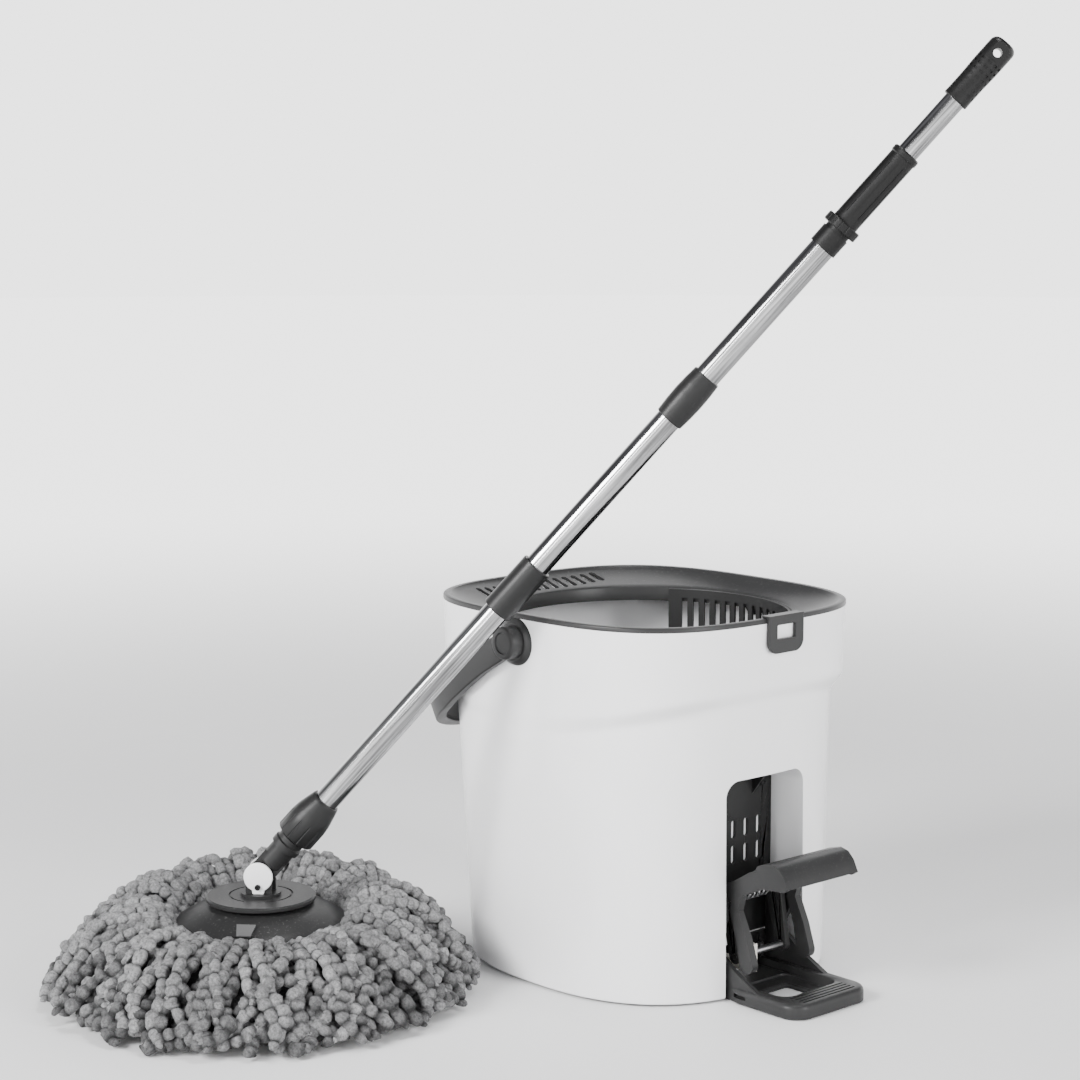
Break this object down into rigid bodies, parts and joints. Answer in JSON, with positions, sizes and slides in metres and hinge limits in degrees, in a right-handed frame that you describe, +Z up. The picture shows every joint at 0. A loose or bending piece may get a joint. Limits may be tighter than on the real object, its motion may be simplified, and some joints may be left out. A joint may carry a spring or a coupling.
{
  "type": "spin mop",
  "caption": "Spin mop set: an oval bucket with pedal-driven wringing basket and carrying handle, and a telescopic steel mop with tilting, spinning round yarn head leaning by it.",
  "frame": {"origin": "on the floor at the centre of the bucket's middle foot, on the axis of the wringer's spindle", "axes": "+X towards the pedal, +Y away from the leaning mop, +Z up"},
  "size_m": [0.6377, 0.662, 0.7865],
  "materials": {
    "white_plastic": "glossy injection-moulded polypropylene",
    "dark_plastic": "satin dark grey polypropylene",
    "black_grip": "soft-touch black plastic",
    "steel": "polished stainless steel tube",
    "hardware": "zinc-plated steel",
    "nylon": "natural nylon",
    "rubber": "black rubber",
    "clear_plastic": "translucent plastic",
    "yarn": "grey microfibre chenille yarn"
  },
  "bodies": {
    "bucket": {"bucket_shell": "white_plastic", "rim_insert": "dark_plastic", "splash_guard": "dark_plastic", "rim_clip": "dark_plastic", "handle_bushes": "dark_plastic", "back_panel": "dark_plastic", "panel_screws": "hardware", "base_cover": "dark_plastic", "cover_screws": "hardware", "rubber_feet": "rubber", "pedal_base": "dark_plastic", "pedal_base_screws": "hardware", "pedal_axle": "hardware", "axle_clips": "hardware", "return_spring": "hardware", "spindle_bushes": "nylon", "shaft_seal": "rubber", "lay_post": "hardware", "rack_guide": "dark_plastic"},
    "handle": {"handle": "dark_plastic"},
    "pedal": {"pedal": "dark_plastic", "pedal_legs": "dark_plastic", "pedal_crank": "dark_plastic", "crossbar_pin": "hardware"},
    "rack": {"rack": "nylon"},
    "layshaft": {"lay_gear": "nylon", "rack_pinion": "nylon"},
    "spindle": {"spindle": "hardware", "spindle_gear": "nylon"},
    "basket": {"basket": "dark_plastic", "basket_hub": "dark_plastic", "one_way_clutch": "hardware", "hub_cap": "dark_plastic"},
    "mop_pole": {"lower_tube": "steel", "middle_tube": "steel", "upper_tube": "steel", "lower_sleeve": "dark_plastic", "barrel_sleeve": "dark_plastic", "drive_grip": "black_grip", "neck": "dark_plastic"},
    "collar": {"neck_collar": "dark_plastic"},
    "lock_ring": {"lock_ring": "black_grip"},
    "inner_pole": {"inner_tube": "steel", "lock_cam": "nylon", "top_grip": "black_grip"},
    "knuckle": {"knuckle": "dark_plastic", "hinge_pin": "hardware", "ear_covers": "white_plastic", "ear_screws": "hardware", "top_disc": "dark_plastic", "stem_washer": "hardware"},
    "head": {"head_plate": "dark_plastic", "bearing_ring": "hardware", "plate_clips": "clear_plastic", "yarn_ring": "yarn", "yarn": "yarn"}
  },
  "joints": [
    {"name": "handle_swing", "type": "hinge", "parent": "bucket", "child": "handle", "pos_m": [0, 0, 0.296], "axis": [0, 1, 0], "range_deg": [0, 119]},
    {"name": "pedal_press", "type": "hinge", "parent": "bucket", "child": "pedal", "pos_m": [0.132, 0, 0.084], "axis": [0, 1, 0], "range_deg": [0, 24], "stiffness_Nm_per_rad": 2, "springref_deg": -22.92},
    {"name": "rack_slide", "type": "slide", "parent": "bucket", "child": "rack", "axis": [-1, 0, 0], "range_m": [0, 0.02182]},
    {"name": "layshaft_spin", "type": "hinge", "parent": "bucket", "child": "layshaft", "pos_m": [0.036, 0, 0.012], "axis": [0, 0, 1], "range_deg": [-139, 0]},
    {"name": "spindle_spin", "type": "hinge", "parent": "bucket", "child": "spindle", "pos_m": [0, 0, 0.1], "axis": [0, 0, 1], "range_deg": [0, 414]},
    {"name": "basket_spin", "type": "hinge", "parent": "bucket", "child": "basket", "pos_m": [0, 0, 0.21], "axis": [0, 0, 1], "continuous": true},
    {"name": "mop_lift_off", "type": "slide", "parent": "bucket", "child": "mop_pole", "axis": [-0.3011, -0.6222, 0.7226], "range_m": [0, 0.35]},
    {"name": "collar_twist", "type": "hinge", "parent": "mop_pole", "child": "collar", "pos_m": [-0.135, -0.3145, 0.1], "axis": [0.4913, 0.4418, 0.7506], "range_deg": [0, 90]},
    {"name": "lock_ring_twist", "type": "hinge", "parent": "mop_pole", "child": "lock_ring", "pos_m": [-0.135, -0.3145, 0.1], "axis": [0.4913, 0.4418, 0.7506], "range_deg": [0, 90]},
    {"name": "pole_telescope", "type": "slide", "parent": "mop_pole", "child": "inner_pole", "axis": [0.4913, 0.4418, 0.7506], "range_m": [-0.05, 0.3]},
    {"name": "head_tilt", "type": "hinge", "parent": "mop_pole", "child": "knuckle", "pos_m": [-0.135, -0.3145, 0.1], "axis": [-0.6687, 0.7436, 0], "range_deg": [0, 126]},
    {"name": "head_spin", "type": "hinge", "parent": "knuckle", "child": "head", "pos_m": [-0.135, -0.3145, 0.1], "axis": [0, 0, 1], "continuous": true}
  ],
  "couplings": [
    {"joint": "rack_slide", "follows": "pedal_press", "m_per_rad": 0.051621},
    {"joint": "layshaft_spin", "follows": "pedal_press", "ratio": -5.7356},
    {"joint": "spindle_spin", "follows": "pedal_press", "ratio": 17.207}
  ]
}
